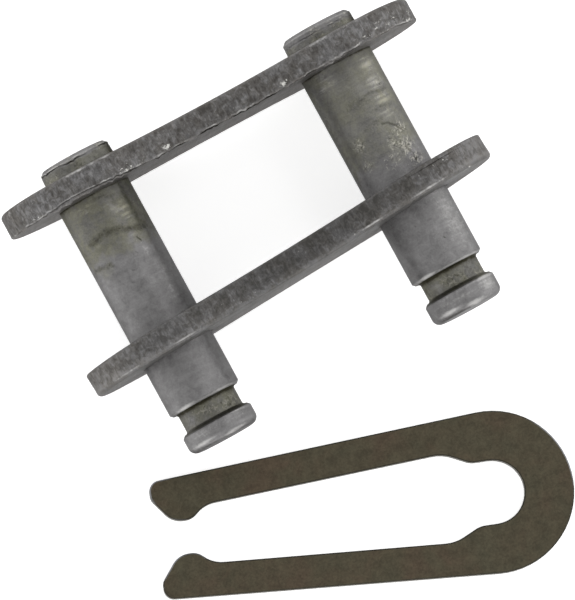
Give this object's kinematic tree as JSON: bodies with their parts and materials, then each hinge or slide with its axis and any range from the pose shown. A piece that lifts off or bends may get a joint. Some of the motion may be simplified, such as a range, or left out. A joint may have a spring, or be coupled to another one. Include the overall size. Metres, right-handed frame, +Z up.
{
  "type": "chain connecting link",
  "caption": "Roller-chain connecting link: pins riveted into one plate, a loose cover plate part of the way along them, and the U-shaped spring clip that locks it lying beside them.",
  "frame": {"origin": "midway between the two pin axes, on the inner face of the plate that the pins are riveted into, at the height of the pin axes", "axes": "+X from the left pin to the right pin, -Y along the pins from the riveted plate to their grooved free ends, +Z up with the plates standing on edge"},
  "size_m": [0.0226, 0.0265, 0.0086],
  "materials": {
    "plate_steel": "dark heat-treated carbon steel, tumbled, with rough sheared rims",
    "pin_steel": "satin ground steel with a brownish film of oil",
    "clip_steel": "olive-brown tempered spring steel, matt"
  },
  "bodies": {
    "pin_link": {"fixed_plate": "plate_steel", "left_pin": "pin_steel", "right_pin": "pin_steel", "spring_clip": "clip_steel"},
    "cover": {"cover_plate": "plate_steel"}
  },
  "joints": [
    {"name": "cover_slide", "type": "slide", "parent": "pin_link", "child": "cover", "axis": [0, -1, 0], "range_m": [-0.00591, 0.0046]}
  ]
}
